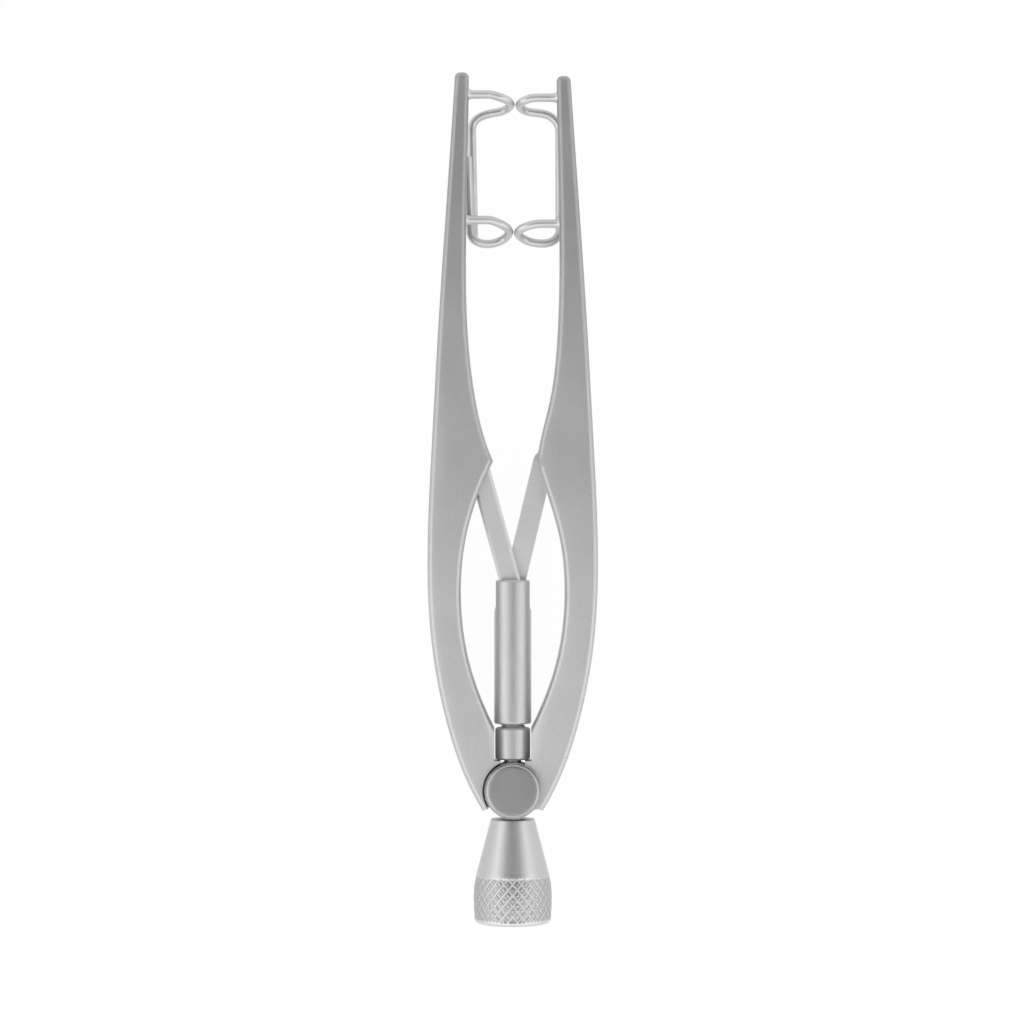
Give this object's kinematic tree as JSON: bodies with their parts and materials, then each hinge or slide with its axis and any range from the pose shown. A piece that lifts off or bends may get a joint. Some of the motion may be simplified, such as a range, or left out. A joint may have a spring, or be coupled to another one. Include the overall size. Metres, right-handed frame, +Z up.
{
  "type": "eyelid retractor",
  "caption": "Steel eyelid retractor with paired wire hooks: a thumb knob turns a screw that spreads hinged arms through short links.",
  "frame": {"origin": "centre of the instrument's length and width, on the surface that it lies on with its front up", "axes": "+X to the right arm, +Y from the knob to the tips, +Z up out of the front"},
  "size_m": [0.016, 0.08, 0.0074],
  "materials": {
    "arm_steel": "satin, fine brushed grain, bevelled inner edges",
    "link_steel": "satin, ground flat",
    "turned_steel": "fine turned satin, knurled grip",
    "pin_steel": "brushed flat face",
    "wire_steel": "drawn wire, smooth satin"
  },
  "bodies": {
    "hinge": {"hinge_pin": "pin_steel", "hinge_cap": "pin_steel"},
    "screw": {"spindle": "turned_steel", "thumb_knob": "turned_steel"},
    "sleeve": {"threaded_sleeve": "turned_steel", "sleeve_rivet": "turned_steel"},
    "left_arm_set": {"left_arm": "arm_steel", "left_link_rivet": "arm_steel", "left_upper_lid_wire": "wire_steel", "left_lower_lid_wire": "wire_steel"},
    "right_arm_set": {"right_arm": "arm_steel", "right_link_rivet": "arm_steel", "right_lid_wire": "wire_steel"},
    "left_link_bar": {"left_link": "link_steel"},
    "right_link_bar": {"right_link": "link_steel"}
  },
  "joints": [
    {"name": "screw_turn", "type": "hinge", "parent": "hinge", "child": "screw", "pos_m": [0, -0.02745, 0.00369], "axis": [0, -1, 0], "range_deg": [0, 1494]},
    {"name": "sleeve_travel", "type": "slide", "parent": "hinge", "child": "sleeve", "axis": [0, 1, 0], "range_m": [0, 0.00166]},
    {"name": "left_arm_swing", "type": "hinge", "parent": "hinge", "child": "left_arm_set", "pos_m": [0, -0.02745, 0.00369], "axis": [0, 0, 1], "range_deg": [0, 10]},
    {"name": "right_arm_swing", "type": "hinge", "parent": "hinge", "child": "right_arm_set", "pos_m": [0, -0.02745, 0.00369], "axis": [0, 0, -1], "range_deg": [0, 10]},
    {"name": "left_link_swing", "type": "hinge", "parent": "left_arm_set", "child": "left_link_bar", "pos_m": [-0.0033, 0.00331, 0.00403], "axis": [0, 0, 1], "range_deg": [0, 17.3]},
    {"name": "right_link_swing", "type": "hinge", "parent": "right_arm_set", "child": "right_link_bar", "pos_m": [0.0029, 0.00341, 0.00335], "axis": [0, 0, -1], "range_deg": [0, 17.3]}
  ],
  "couplings": [
    {"joint": "screw_turn", "follows": "sleeve_travel", "rad_per_m": 15708},
    {"joint": "left_arm_swing", "follows": "sleeve_travel", "rad_per_m": 105.1},
    {"joint": "right_arm_swing", "follows": "sleeve_travel", "rad_per_m": 105.1},
    {"joint": "left_link_swing", "follows": "sleeve_travel", "rad_per_m": 181.31},
    {"joint": "right_link_swing", "follows": "sleeve_travel", "rad_per_m": 179.72}
  ]
}
